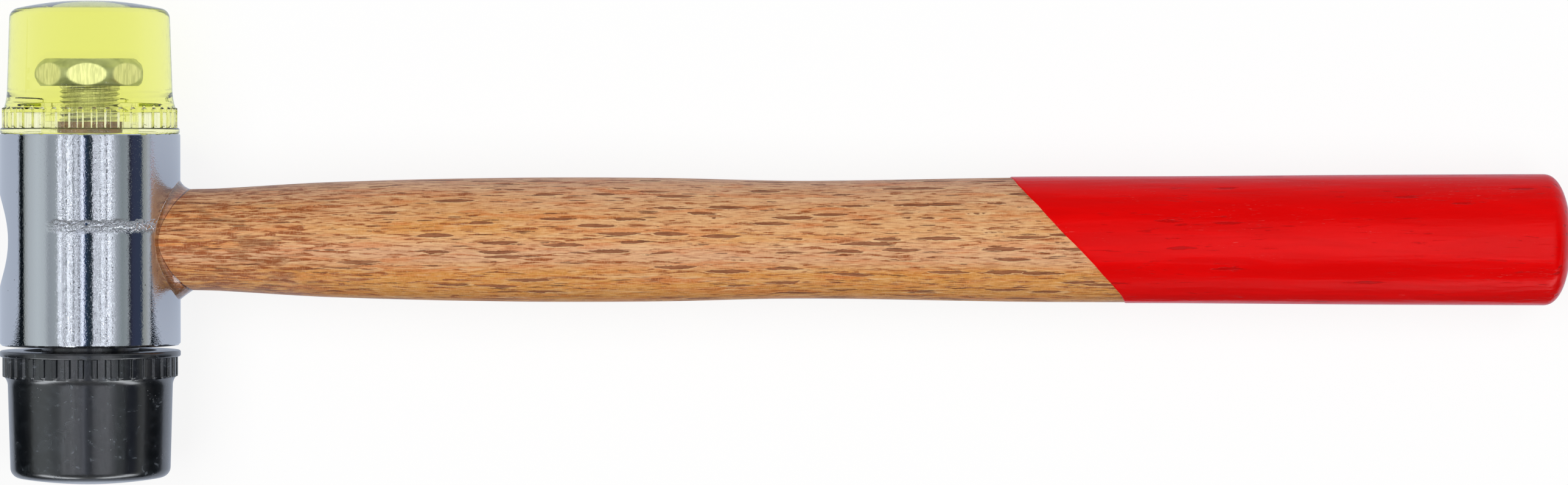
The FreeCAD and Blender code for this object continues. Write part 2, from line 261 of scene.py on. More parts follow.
class Board:
    # The node tree of a material or a world, and the one method that adds a node to it
    def __init__(self, owner):
        owner.use_nodes = True
        self.owner, self.tree, self.ownSpace = owner, owner.node_tree, None
        self.tree.nodes.clear()

    def add(self, kind, settings, sockets, out=0):
        node = self.tree.nodes.new(kind)
        for key, value in settings.items():
            if key == "stops":
                self.setStops(node.color_ramp, value)
            else:
                setattr(node, key, value)
        for key, value in sockets.items():
            socket = node.inputs[key]
            if isinstance(value, Wire):
                self.tree.links.new(value.socket, socket)
            else:
                socket.default_value = value
        return Wire(self, node.outputs[out])

    def setStops(self, ramp, stops):
        while len(ramp.elements) < len(stops):
            ramp.elements.new(1.0)
        for element, (place, shade) in zip(ramp.elements, stops):
            element.position, element.color = place, colour(*shade)

    def space(self):
        # Object coordinates turned into the hammer's own directions, in mm
        if not self.ownSpace:
            place = self.add("ShaderNodeTexCoord", {}, {}, out="Object")
            self.ownSpace = self.add("ShaderNodeMapping", {"vector_type": "TEXTURE"}, {
                "Vector": place, "Location": headCentre, "Rotation": (0, tilt, 0), "Scale": (mm,) * 3,
            })
        return self.ownSpace

    def parts(self, vector):
        return [self.add("ShaderNodeSeparateXYZ", {}, {"Vector": vector}, out=k) for k in range(3)]

    def vector(self, operation, first, second):
        return self.add("ShaderNodeVectorMath", {"operation": operation}, {0: first, 1: second})

    def noise(self, size, detail, wander=0.0, seed=0.0):
        # Noise whose features are about size long, in mm, in each direction
        scaled = self.vector("DIVIDE", self.space(), size)
        return self.add("ShaderNodeTexNoise", {"noise_dimensions": "4D"},
                        {"Vector": scaled, "W": seed, "Scale": 1.0, "Detail": detail, "Distortion": wander})

    def stripes(self, place, scale, detail):
        # Noise along a single line
        return self.add("ShaderNodeTexNoise", {"noise_dimensions": "1D"},
                        {"W": place, "Scale": scale, "Detail": detail})

    def fromDots(self, scale):
        # How far the nearest of a field of random dots is, where the dots are about 1 / scale mm apart
        return self.add("ShaderNodeTexVoronoi", {}, {"Vector": self.space(), "Scale": scale}, out="Distance")

    def mark(self, name):
        return self.add("ShaderNodeAttribute", {"attribute_name": name}, {}, out="Fac")

    def mix(self, share, first, second):
        return self.add("ShaderNodeMix", {"data_type": "RGBA"}, {0: share, 6: first, 7: second}, out=2)

    def layers(self, base, *coats):
        # Each coat is a share and a colour, laid over those before it
        for share, tint in coats:
            base = self.mix(share, base, tint)
        return base

    def bump(self, height, distance, strength=1.0):
        # The height is in units of the distance, which is in mm
        return self.add("ShaderNodeBump", {},
                        {"Height": height, "Distance": distance * mm, "Strength": strength})

    def principled(self, sockets):
        return self.add("ShaderNodeBsdfPrincipled", {}, sockets)

    def lampsThrough(self, surface, tint):
        # Lamps shine through the surface, as if it were a thin clear sheet of the tint
        clear = self.add("ShaderNodeBsdfTransparent", {}, {"Color": tint})
        share = self.add("ShaderNodeLightPath", {}, {}, out="Is Shadow Ray")
        return self.add("ShaderNodeMixShader", {}, {0: share, 1: surface, 2: clear})

    def finish(self, surface, volume=None, kind="ShaderNodeOutputMaterial"):
        output = self.tree.nodes.new(kind)
        self.tree.links.new(surface.socket, output.inputs["Surface"])
        if volume:
            self.tree.links.new(volume.socket, output.inputs["Volume"])
        return self.owner


def newBoard(name):
    return Board(bpy.data.materials.new(name))


def colour(red, green, blue):
    return (red, green, blue, 1.0)


def paint(red, green, blue):
    # A colour given as it shows on a screen, from 0 to 255, turned into light
    shares = [c / 255 for c in (red, green, blue)]
    return colour(*[((c + 0.055) / 1.055) ** 2.4 if c > 10 / 255 else c / 12.92 for c in shares])


# Camera: straight above, its middle 135 mm along the handle from the head's axis

camera = {
    "height": 1.026, "along": 0.13523, "towardTip": 0.021, "roll": 0.0005,
    "pixelsPerMetre": 8430, "pictureWide": 2576, "sensorWide": 36.0,
}


def makeCamera():
    data = bpy.data.cameras.new("camera")
    data.sensor_width = camera["sensorWide"]
    data.lens = camera["pixelsPerMetre"] * camera["height"] / camera["pictureWide"] * data.sensor_width
    data.clip_start, data.clip_end = 0.05, 60
    eye = bpy.data.objects.new("camera", data)
    eye.location = (headCentre.x + camera["along"], camera["towardTip"], headCentre.z + camera["height"])
    eye.rotation_euler = (-math.atan2(camera["towardTip"], camera["height"]), 0, camera["roll"])
    bpy.context.scene.collection.objects.link(eye)
    bpy.context.scene.camera = eye


# Bench, lamps and what the bright metal mirrors

studio = {
    "benchHalf": 9.0, "benchColour": colour(0.96, 0.96, 0.96), "benchGlow": 0.84,
    "benchInMirror": colour(0.56, 0.64, 0.79),
    "worldLight": 0.18, "lampPower": 7.1, "lampPlaces": (-0.46, 0.46), "lampHeight": 1.05,
    "lampSize": (0.6, 1.2), "cardRadius": 1.05, "cardFrom": -0.72, "cardTo": 0.09,
    # The mirrored lamps, by angle: where each fades in and where it fades out
    "lampFades": ((-36, -30, -6, -3), (10, 11, 35, 38)),
    # Dark places of the bench: (near, far, from, to) in metres from the head's middle
    "darkBench": ((-0.36, -6.0, -0.72, 0.09), (-0.04, -0.36, -0.72, -0.0235), (0.04, 6.0, -0.72, -0.0235)),
    "windowGlow": 5.0,
}
# What stands round the bench, by its angle from straight up as seen from the head: (degrees, colour)
cardStops = (
    (-90.0, (0.005, 0.008, 0.012)), (-85.4, (0.005, 0.008, 0.012)), (-84.3, (0.40, 0.43, 0.42)),
    (-77.0, (0.64, 0.69, 0.72)), (-63.0, (0.76, 0.83, 0.86)), (-52.0, (0.68, 0.74, 0.77)),
    (-46.0, (0.44, 0.48, 0.52)), (-38.0, (0.48, 0.53, 0.56)), (-33.5, (0.60, 0.65, 0.68)),
    (-27.0, (0.50, 0.54, 0.58)), (-21.0, (0.62, 0.66, 0.70)), (-8.0, (0.75, 0.80, 0.88)),
    (-1.2, (1.60, 1.70, 1.95)), (0.6, (0.05, 0.10, 0.24)), (3.0, (0.03, 0.05, 0.08)),
    (10.2, (0.03, 0.04, 0.05)), (11.4, (0.70, 0.74, 0.80)), (25.0, (0.70, 0.74, 0.80)),
    (28.0, (0.55, 0.60, 0.66)), (37.0, (0.72, 0.77, 0.82)), (41.0, (0.52, 0.56, 0.61)),
    (48.0, (0.34, 0.39, 0.40)), (56.8, (0.42, 0.46, 0.48)), (57.8, (0.03, 0.03, 0.04)),
    (63.0, (0.05, 0.06, 0.11)), (76.4, (0.05, 0.07, 0.12)), (77.6, (0.42, 0.44, 0.42)),
    (82.0, (0.46, 0.48, 0.46)), (87.0, (0.62, 0.66, 0.70)), (90.0, (0.50, 0.53, 0.58)),
)


def rayIs(board, *kinds):
    total = 0.0
    for kind in kinds:
        total = board.add("ShaderNodeLightPath", {}, {}, out=kind) + total
    return total.clamped()


def makeBench():
    # A flat sheet at the bottom of the hammer's box, partly lit from within where it is seen
    half, low = studio["benchHalf"], cadBox[0].z
    board = newBoard("bench")
    lit = board.add("ShaderNodeBsdfDiffuse", {}, {"Color": studio["benchColour"]})
    glow = board.add("ShaderNodeEmission", {}, {"Color": colour(1, 1, 1), "Strength": 1.0})
    share = rayIs(board, "Is Camera Ray") * studio["benchGlow"] + rayIs(board, "Is Transmission Ray")
    seen = board.add("ShaderNodeMixShader", {}, {0: share.clamped(), 1: lit, 2: glow})
    # Bright metal shows the bench as it was before its white was lifted, bluer and darker
    dull = board.add("ShaderNodeEmission", {}, {"Color": studio["benchInMirror"], "Strength": 1.0})
    mirrored = rayIs(board, "Is Glossy Ray") * (1 - rayIs(board, "Is Transmission Ray")) * 0.8
    material = board.finish(board.add("ShaderNodeMixShader", {}, {0: mirrored, 1: seen, 2: dull}))
    corners = [(-half, -half, low), (half, -half, low), (half, half, low), (-half, half, low)]
    addObject("bench", corners, [(0, 1, 2, 3)], material)


def makeCards():
    # A half cylinder of pale and dark strips about the head's axis, seen only in mirrors and through glass
    radius, turnCount = studio["cardRadius"], 90
    turn = np.radians(np.linspace(-90, 90, turnCount + 1))
    ends = np.array([studio["cardFrom"], studio["cardTo"]])
    x = headCentre.x + radius * np.sin(turn)[:, None] + 0 * ends
    z = headCentre.z + radius * np.cos(turn)[:, None] + 0 * ends
    points = np.stack([x, 0 * x + ends, z], -1).reshape(-1, 3)
    i = 2 * np.arange(turnCount)
    faces = np.stack([i, i + 1, i + 3, i + 2], -1)
    board = newBoard("cards")
    place = board.add("ShaderNodeTexCoord", {}, {}, out="Object")
    x, y, z = board.parts(board.vector("SUBTRACT", place, headCentre))
    angle = x.calc("ARCTAN2", x, z) * (180 / math.pi)
    stops = [((degrees + 90) / 180, shade) for degrees, shade in cardStops]
    shade = board.add("ShaderNodeValToRGB", {"stops": stops}, {0: (angle + 90.0) / 180})
    # Fine lines across the two lamps' faces
    lines, threads = board.stripes(angle, 1.15, 2.0), board.stripes(angle, 0.55, 1.0)
    lamp = 0.0
    for fadeIn, bright, dimming, gone in studio["lampFades"]:
        lamp = angle.between(fadeIn, bright) * (1 - angle.between(dimming, gone)) + lamp
    shade = board.mix(lamp * (1 - lines.between(0.47, 0.51)) * 0.95, shade, colour(0.03, 0.04, 0.06))
    shade = board.mix(lamp * lines.between(0.58, 0.63), shade, colour(5.2, 5.4, 5.8))
    shade = board.mix(lamp * threads.between(0.57, 0.60) * 0.9, shade, colour(0.03, 0.03, 0.04))
    material = board.finish(board.add("ShaderNodeEmission", {}, {"Color": shade}))
    material.cycles.emission_sampling = "NONE"
    cards = addObject("cards", points.tolist(), faces.tolist(), material)
    # The bench is dark beyond the paper's edge, mirrored as a thin line down the head's left side, and on
    # both sides of the black tip
    board = newBoard("darkBench")
    dark = board.add("ShaderNodeEmission", {}, {"Color": colour(0.01, 0.015, 0.02), "Strength": 1.0})
    material = board.finish(dark)
    corners, low = [], cadBox[0].z + mm
    for near, far, start, stop in studio["darkBench"]:
        outline = (near, start), (far, start), (far, stop), (near, stop)
        corners += [(headCentre.x + x, y, low) for x, y in outline]
    faces = np.arange(len(corners)).reshape(-1, 4)
    darkBench = addObject("darkBench", corners, faces.tolist(), material)
    for card in (cards, darkBench):
        card.visible_camera = card.visible_diffuse = card.visible_transmission = False
        card.visible_shadow = card.visible_volume_scatter = False


def makeLamps():
    for place in studio["lampPlaces"]:
        data = bpy.data.lights.new("lamp", "AREA")
        data.shape, data.energy = "RECTANGLE", studio["lampPower"]
        data.size, data.size_y = studio["lampSize"]
        lamp = bpy.data.objects.new("lamp", data)
        lamp.location = (place, 0, studio["lampHeight"])
        lamp.rotation_euler = (0, math.atan2(place, studio["lampHeight"]), 0)
        lamp.visible_glossy = lamp.visible_camera = lamp.visible_transmission = False
        bpy.context.scene.collection.objects.link(lamp)


def makeWorld():
    world = bpy.data.worlds.new("studio")
    bpy.context.scene.world = world
    world.cycles.sampling_method = "NONE"  # lamps are sampled, the room is only met
    board = Board(world)
    light = board.add("ShaderNodeBackground", {},
                      {"Color": colour(1, 1, 1), "Strength": studio["worldLight"]})
    # Mirrors see a dim room, a little brighter low down
    x, y, z = board.parts(board.add("ShaderNodeTexCoord", {}, {}, out="Generated"))
    low = (1 - z.clamped()) ** 3.0
    dim = 0.28 + low * (0.45 + y * 0.12)
    # Two windows low down before the hammer, mirrored in its rounded edges
    window = z.between(0.0, 0.06) * (1 - z.between(0.22, 0.36))
    window = window * (y * -1).between(0.45, 0.65) * x.size().between(0.10, 0.22)
    dim = dim + window * studio["windowGlow"]
    room = board.add("ShaderNodeBackground", {}, {"Color": colour(0.92, 0.96, 1.0), "Strength": dim})
    # Through the clear tip the room is brightest overhead; the camera's own view of it stays white
    away = rayIs(board, "Is Transmission Ray") * (1 - z.between(0.55, 0.97))
    overhead = board.mix(away, colour(1.5, 1.52, 1.56), colour(0.75, 0.76, 0.77))
    overhead = board.mix(rayIs(board, "Is Camera Ray"), overhead, colour(1, 1, 1))
    white = board.add("ShaderNodeBackground", {}, {"Color": overhead, "Strength": 1.0})
    lit = board.add("ShaderNodeMixShader", {}, {0: rayIs(board, "Is Glossy Ray"), 1: light, 2: room})
    seen = rayIs(board, "Is Camera Ray", "Is Transmission Ray")
    whole = board.add("ShaderNodeMixShader", {}, {0: seen, 1: lit, 2: white})
    board.finish(whole, kind="ShaderNodeOutputWorld")


makeCamera()
makeBench()
makeCards()
makeLamps()
makeWorld()
bpy.context.scene.view_settings.view_transform = "Standard"
# Light goes to and fro many times in the clear tip before it comes out
bounces = {"max_bounces": 24, "transmission_bounces": 20, "glossy_bounces": 14}
for setting, count in bounces.items():
    setattr(bpy.context.scene.cycles, setting, count)
print("stage set")


# Head: plated steel, with a tapered eye across it and a tapped hole in each end

headBody = {
    "radius": 17.5, "half": 20.55, "chamfer": {1: 0.2, -1: 0.45}, "eyeMouth": (22.6, 22.4),
    "eyeBack": (18.0, 17.1), "mouthRound": 0.15, "backRound": 1.0, "thread": 4.0, "drill": 3.4,
    "tapDepth": 7.6, "pointDepth": 2.04,
    "holeChamfer": 0.5, "arc": 128, "side": 56, "outRows": 30, "wallRows": 24, "burr": 0.07,
}


def eyeHalves(along):
    # Half height and half thickness of the tapered eye, in a straight line from its back to its mouth
    share = (along + headBody["radius"]) / (2 * headBody["radius"])
    (mouthHigh, mouthThick), (backHigh, backThick) = headBody["eyeMouth"], headBody["eyeBack"]
    return (backHigh + (mouthHigh - backHigh) * share) / 2, (backThick + (mouthThick - backThick) * share) / 2


def onSide(turn, place, side):
    # A point of the cylinder's side: turn is its angle from the handle's line, and side is 1 for the mouth's
    # half and -1 for the back's
    radius = headBody["radius"]
    return np.stack([side * radius * np.cos(turn), place, radius * np.sin(turn)], -1)


def eyeRim(turn, place, side):
    # The share of the way out to (turn, place) at which a straight line on the unrolled side leaves the eye's
    # oval, found by halving
    low, high = np.zeros_like(turn), np.ones_like(turn)
    for _ in range(40):
        middle = (low + high) / 2
        along, across, up = np.moveaxis(onSide(middle * turn, middle * place, side), -1, 0)
        halfHigh, halfThick = eyeHalves(along)
        inside = (across / halfHigh) ** 2 + (up / halfThick) ** 2 < 1
        low, high = np.where(inside, middle, low), np.where(inside, high, middle)
    return low


def makeHeadBody(material):
    # The two halves of the cylinder's side, each from its border in to the eye's oval, joined through the eye
    # by straight lines, and the two ends turned about the axis
    h = headBody
    low, high = -h["half"] + h["chamfer"][-1], h["half"] - h["chamfer"][1]
    arc = np.linspace(-math.pi / 2, math.pi / 2, h["arc"] + 1)[:-1]
    side = np.linspace(low, high, h["side"] + 1)[:-1]
    # Round the unrolled half side's border, in one direction
    turn = np.concatenate([arc, np.full(len(side), math.pi / 2), -arc, np.full(len(side), -math.pi / 2)])
    place = np.concatenate([np.full(len(arc), low), side, np.full(len(arc), high), low + high - side])

    def sheet(sideSign):
        rim = eyeRim(turn, place, sideSign)
        share = np.linspace(1, 0, h["outRows"] + 1)[:, None] ** 1.5
        way = rim + (1 - rim) * share
        return onSide(way * turn, way * place, sideSign)

    front, back = sheet(1), sheet(-1)

    def roundedOver(outer, rim, inner, radius):
        # A short curve that leaves one surface, bends round their common edge and meets the other
        start = rim + (outer - rim) / np.linalg.norm(outer - rim, axis=-1, keepdims=True) * radius
        end = rim + (inner - rim) / np.linalg.norm(inner - rim, axis=-1, keepdims=True) * radius
        t = np.linspace(0, 1, 7)[:, None, None]
        return bowed(start, rim, end, t)

    mouthCurve = roundedOver(front[-3], front[-1], back[-1], h["mouthRound"])
    backCurve = roundedOver(back[-3], back[-1], front[-1], h["backRound"])[::-1]
    t = np.linspace(0, 1, h["wallRows"] + 1)[1:-1, None, None]
    wall = mouthCurve[-1] * (1 - t) + backCurve[0] * t

    def clearOf(rows, curve, rim):
        # Leaves out the rows of a sheet that lie nearer to the rim than the curve's start
        far = np.linalg.norm(rows - rim, axis=-1).min(1) > np.linalg.norm(curve - rim, axis=-1).max() * 1.3
        return rows[far]

    rows = np.concatenate([clearOf(front, mouthCurve[0], front[-1]), mouthCurve, wall, backCurve,
                           clearOf(back, backCurve[-1], back[-1])[::-1]])
    points, faces = [rows.reshape(-1, 3)], [gridFaces(*rows.shape[:2], False)]
    # Each end: chamfer, face, and the tapped hole down to its drill point
    around = turnsRound(2 * h["arc"]) - math.pi / 2
    top = h["half"]
    wear = np.random.default_rng(7)
    for end in (1, -1):
        cut = h["chamfer"][end]
        outline = roundedPath([
            (h["radius"], top - cut), (h["radius"] - cut, top), (h["thread"] + h["holeChamfer"], top),
            (h["thread"], top - h["holeChamfer"]), (h["thread"], top - h["tapDepth"]),
            (h["drill"], top - h["tapDepth"]),
        ], 1.0)
        radius = outline[:, 0, None] + np.zeros(len(around))
        radius[1] += wear.uniform(-h["burr"], h["burr"], len(around))
        height = end * outline[:, 1, None] + 0 * radius
        rings = np.stack([radius * np.cos(around), height, radius * np.sin(around)], -1)
        pole = np.array([[0.0, end * (top - h["tapDepth"] - h["pointDepth"]), 0.0]])
        start = sum(len(p) for p in points)
        count, columns = rings.shape[:2]
        fan = fanFaces(count * columns, (count - 1) * columns, columns)[:, ::-1]
        points.append(np.concatenate([rings.reshape(-1, 3), pole]))
        for part in (gridFaces(count, columns, False), fan):
            faces.append((part if end > 0 else part[:, ::-1]) + start)
    points = np.concatenate(points)
    return newPiece("headShell", toFrame(*points.T), faces, material, 20)


def platedSteel():
    board = newBoard("platedSteel")
    along, across = board.parts(board.space())[:2]
    peel = board.noise((0.36, 0.30, 0.36), 1.0, 1.2)
    swell = board.noise((6, 9, 6), 1.0, 0.0, 3.0)
    # Handling marks run round the head, a little above its middle
    wave = board.noise((3, 3, 3), 1.0, 0.0, 8.0) * 1.6
    band = 1 - (across - 3.6 + wave).size().between(0.2, 1.6)
    marks = board.noise((0.55, 0.36, 0.55), 1.0, 1.6, 5.0) * along.between(-7, -4)
    marks = marks * board.noise((1.6, 0.9, 1.6), 1.0, 0.0, 21.0).between(0.34, 0.50)
    height = peel + swell * 0.5 + band * marks * 22
    smudge = board.noise((9, 14, 9), 3.0, 0.6, 11.0).between(0.45, 0.75)
    roughness = 0.008 + smudge * 0.02
    specks = board.fromDots(0.35).between(0.03, 0.05)
    base = board.mix(specks, colour(0.12, 0.11, 0.10), colour(0.56, 0.575, 0.60))
    return board.finish(board.principled({
        "Base Color": base, "Metallic": 1.0, "Roughness": roughness, "Normal": board.bump(height, 0.0105),
    }))


dress(makeHeadBody(platedSteel()), "head", "head_body")
print("head made")


def aboutHead(radius, place, turn, end):
    # Points about the head's own axis: place is the distance beyond the steel's end, end is 1 at the yellow
    # tip and -1 at the black one, and turn goes round from straight up
    return toFrame(radius * np.sin(turn), end * (headBody["half"] + place), end * radius * np.cos(turn))


tips = {
    "height": 25.8, "hub": 9.45, "hollow": 12.9, "hollowDeep": 4.26, "collar": 16.52, "collarHigh": 5.2,
    "foot": 15.96, "side": 15.46, "strikeRound": 2.0, "flangeThick": 1.2, "flangeRound": 0.35, "land": 5.0,
    "bend": 0.25, "ribs": 40, "ribHalf": 0.5, "ribTop": 5.1, "ribReach": 16.98, "ribWall": 0.24,
    "pocket": 6.5, "pocketDeep": 2.4, "middle": 1.6, "smallRound": 0.15,
    # Columns beside a rib's middle line and rows below its top, close together where its wall rises
    "ribColumns": (0.36, 0.44, 0.5, 0.56, 0.64, 0.95),
    "ribRows": (-0.04, 0, 0.04, 0.09, 0.15, 0.22, 0.3, 0.4, 0.52, 0.7),
}
yellowTip = {"end": 1, "flange": 17.35, "crown": 64.0, "shoulder": 3.9, "rim": 0.0}
blackTip = {"end": -1, "flange": 17.52, "crown": 82.0, "shoulder": 1.6, "rim": 1.0}


def tipOutline(own):
    # Half the tip's section from the middle of its face, down its side, and up its hollow to the bolt
    t, rim = tips, own["rim"]
    top, collarTop = rim + t["height"], rim + t["collarHigh"]
    shoulderTop = collarTop + own["shoulder"]
    centre = top - math.sqrt(own["crown"] ** 2 - t["land"] ** 2)

    def crown(radius):
        return radius, centre + math.sqrt(own["crown"] ** 2 - radius**2)

    crowned = np.linspace(t["land"], t["side"] - 1.3 * t["strikeRound"], 20)
    corners = [(t["middle"], top), *[crown(r) for r in crowned], (*crown(t["side"]), t["strikeRound"])]
    # The shoulder is a curve of second degree through its bend
    head, foot = np.array([t["foot"], shoulderTop]), np.array([t["collar"], collarTop])
    bend = np.array([t["foot"] + (t["collar"] - t["foot"]) * t["bend"], (shoulderTop + collarTop) / 2])
    pull = 2 * bend - (head + foot) / 2
    for s in np.linspace(0, 1, 12):
        corners.append(tuple(bowed(head, pull, foot, s)))
    corners += [(t["collar"], rim + t["ribTop"] - below) for below in t["ribRows"]]
    ledge, small = rim + t["flangeThick"], t["smallRound"]
    corners += [
        (t["collar"], ledge + 0.1), (t["collar"], ledge),
        (own["flange"], ledge, t["flangeRound"]), (own["flange"], rim, t["flangeRound"]),
        (t["hollow"], rim, small), (t["hollow"], rim + t["hollowDeep"], small),
        (t["hub"], rim + t["hollowDeep"], small), (t["hub"], 0, small), (t["pocket"], 0, small),
        (t["pocket"], t["pocketDeep"]), (t["middle"], t["pocketDeep"]),
    ]
    return roundedPath(corners, 1.2)


def makeTip(name, own, material):
    # The outline turned about the head's axis, with the ribs pushed out of its collar
    t = tips
    outline = tipOutline(own)
    # The columns are symmetric about each rib
    half = math.pi / t["ribs"]
    steps = np.array(t["ribColumns"]) / t["collar"]
    steps = np.concatenate([-steps[::-1], [0], steps, [half]])
    turn = (np.arange(t["ribs"])[:, None] * 2 * half + steps).ravel()
    radius, place = outline[:, 0, None] + 0 * turn, outline[:, 1, None] + 0 * turn
    # Distance to the outline of a rib, a bar with a round upper end, in which the collar stands out
    beside = np.tile(steps, t["ribs"]) * t["collar"]
    beside = np.where(beside > half * t["collar"] * 0.99, 9.0, np.abs(beside))
    above = np.clip(place - (own["rim"] + t["ribTop"] - t["ribHalf"]), 0, None)
    inside = t["ribHalf"] - np.hypot(beside, above)
    rise = np.clip(inside / t["ribWall"] + 0.5, 0, 1)
    rise = rise * rise * (3 - 2 * rise)
    ledge = own["rim"] + t["flangeThick"]
    onCollar = (np.abs(radius - t["collar"]) < 1e-6) & (place > ledge - 1e-6)
    reach = np.where(place > ledge + 0.05, t["ribReach"], own["flange"] - t["flangeRound"])
    radius = np.where(onCollar, t["collar"] + (reach - t["collar"]) * rise, radius)
    rows = aboutHead(radius, place, turn, own["end"])
    poles = aboutHead(np.zeros(2), outline[[0, -1], 1], 0.0, own["end"])
    return tubePiece(name, rows, poles, material, 40)


bolts = {
    "under": 9.2, "headHigh": 5.3, "apothem": 6.5, "corner": 7.2, "belly": 0.155, "widest": 11.5,
    "turn": 32.0, "cornerRound": 0.07, "length": 16.0, "shank": 3.95, "endChamfer": 1.0, "topBevel": 0.12,
    "pitch": 1.25, "crest": 0.12, "flank": 0.78, "threadDeep": 0.45, "runOut": 0.875,
    "rowsPerPitch": 12, "columns": 120,
}


def makeBolt(name, own, material):
    # The shank is a screw line: its radius falls in straight flanks from crest to root as the place climbs
    # by one pitch a turn. Crest and flank are shares of half a pitch. The head is a hexagon whose corners are
    # turned down to a barrel, whose radius falls with the square of the distance from its widest place.
    b = bolts
    under, top, end = b["under"], b["under"] + b["headHigh"], b["under"] - b["length"]
    turn = turnsRound(b["columns"]) + math.radians(b["turn"])
    rowCount = int(b["length"] / b["pitch"] * b["rowsPerPitch"])
    place = np.linspace(end, under, rowCount)[:, None] + 0 * turn
    phase = (place / b["pitch"] - turn / (2 * math.pi)) % 1.0
    depth = np.clip((np.abs(phase - 0.5) * 2 - b["crest"]) / b["flank"], 0, 1)
    depth *= b["threadDeep"] * np.clip((under - place) / b["runOut"], 0, 1)
    limit = b["shank"] - b["endChamfer"] + (place - end)
    radius = np.minimum(b["shank"] - depth, limit)
    hexagon = b["apothem"] / np.cos((turn - math.radians(b["turn"])) % (math.pi / 3) - math.pi / 6)
    headPlace = np.linspace(under, top, 31)[:, None] + 0 * turn
    barrel = b["corner"] - b["belly"] * (headPlace - b["widest"]) ** 2
    # The lesser of the two, rounded where they cross
    gap = np.clip(0.5 + (barrel - hexagon) / b["cornerRound"] / 2, 0, 1)
    headRadius = barrel * (1 - gap) + hexagon * gap - b["cornerRound"] * gap * (1 - gap)
    # Rings within the flat faces under and over the head
    flat = 0 * turn
    seat, edge, middle = flat + 5.0, headRadius[-1] - 0.7, flat + 2.5
    headRadius[-1] -= b["topBevel"]
    radius = np.concatenate([[flat + 1.0], radius, [seat], headRadius, [edge, middle]])
    place = np.concatenate([[flat + end], place, [flat + under], headPlace, [flat + top, flat + top]])
    # Where the barrel has cut the hexagon the metal is turned, not forged, and there its colour is darker,
    # half
    # as much on the top face: painted shade for these corners' darker reflections. The shank keeps the flats'
    # colour.
    turned = np.ones(radius.shape)
    turned[-headPlace.shape[0] - 2:-2] = 1 - gap
    turned = np.where(place > top - 1e-6, 0.5, turned)
    turned[:-headPlace.shape[0] - 2] = 0.0
    rows = aboutHead(radius, place, turn, own["end"])
    poles = aboutHead(np.zeros(2), np.array([end, top]), 0.0, own["end"])
    piece = tubePiece(name, rows, poles, material, 16)
    markPoints(piece, "turned", np.append(turned.ravel(), [1.0, 0.5]))
    return piece


# Handle: oval sections (place from the head's axis, height, thickness), a tapered tenon and a rounded end

handle = {
    "sections": (
        (19.9, 19.7, 19.6), (25.1, 19.95, 19.4), (46.5, 22.4, 20.8), (80.0, 24.1, 21.7),
        (110.0, 24.15, 21.6), (139.0, 23.0, 20.8), (182.2, 24.3, 21.7), (212.0, 24.5, 22.1),
        (248.0, 25.05, 22.5), (284.0, 25.35, 22.8),
    ),
    "reach": 288.9, "dome": 4.9, "domeFullness": 2.3, "tenonEnd": -14.7, "glue": 0.35, "endRound": 0.4,
    "columns": 128, "step": 1.0,
}
coat = {
    "thick": 0.18, "sunk": 0.1, "edge": 190.7, "lean": 0.9325, "rimRound": 0.3, "columns": 192,
    "waves": ((0.16, 3, 1.0), (0.08, 8, 0.0), (0.03, 19, 2.0)),
}


def oval(along, high, thick, turn):
    # Points of ovals across the handle. Turn goes round from the yellow tip's side over the top.
    return toFrame(along + 0 * turn, high * np.cos(turn), thick * np.sin(turn))


def handleHalves(along, skin=0.0):
    # Half height and half thickness: straight in the eye, smooth through the sections, then a rounded end
    h = handle
    places, highs, thicks = np.array(h["sections"]).T
    high, thick = smoothThrough(places, highs, along) / 2, smoothThrough(places, thicks, along) / 2
    share = np.clip((along - h["tenonEnd"]) / (places[0] - h["tenonEnd"]), 0, 1)
    endHigh, endThick = (half - h["glue"] for half in eyeHalves(h["tenonEnd"]))
    high = np.where(along < places[0], endHigh + (highs[0] / 2 - endHigh) * share, high)
    thick = np.where(along < places[0], endThick + (thicks[0] / 2 - endThick) * share, thick)
    out = np.clip((along - (h["reach"] - h["dome"])) / (h["dome"] + skin), 0, 1)
    shrink = (1 - out ** h["domeFullness"]) ** (1 / h["domeFullness"])
    return (high + skin) * shrink, (thick + skin) * shrink


def domePlaces(skin, count=18):
    # Places over the rounded end, close together where it turns over
    h = handle
    share = np.sin(np.linspace(0, math.pi / 2, count + 1)[1:-1])
    return h["reach"] - h["dome"] + (h["dome"] + skin) * share


def ovalRows(along, turn, skin=0.0):
    # The handle's ovals at the given places, grown by the skin
    along = np.asarray(along, float)
    if along.ndim == 1:
        along = along[:, None] + 0 * turn
    high, thick = handleHalves(along, skin)
    return oval(along, high, thick, turn)


def makeHandle(material):
    # Ovals all along the handle, between the tenon's flat end and the rounded end of the grip
    h = handle
    turn = turnsRound(h["columns"])
    start, shoulder, domeStart = h["tenonEnd"], h["sections"][0][0], h["reach"] - h["dome"]
    places = np.concatenate([
        np.linspace(start + h["endRound"], shoulder, 26),
        np.arange(shoulder + h["step"], domeStart, h["step"]), [domeStart], domePlaces(0.0),
    ])
    rows = ovalRows(places, turn)
    # The tenon's end is flat, with its edge a little rounded
    high, thick = handleHalves(np.array(start))
    back = []
    for cut, inset in ((0.0, 5.0), (0.0, 0.4), (0.1, 0.15), (0.25, 0.03)):
        back.append(oval(start + cut, high - inset, thick - inset, turn))
    rows = np.concatenate([back, rows])
    poles = toFrame(np.array([start, h["reach"]]), 0.0, 0.0)
    return tubePiece("handleWood", rows, poles, material)


def coatEdge(turn):
    # Where the coat ends on each line along the handle: a slanting plane, a little wavy
    c, place = coat, coat["edge"] + 0 * turn
    for _ in range(8):
        place = c["edge"] - c["lean"] * handleHalves(place)[0] * np.cos(turn)
    return place + wavesRound(turn, c["waves"])


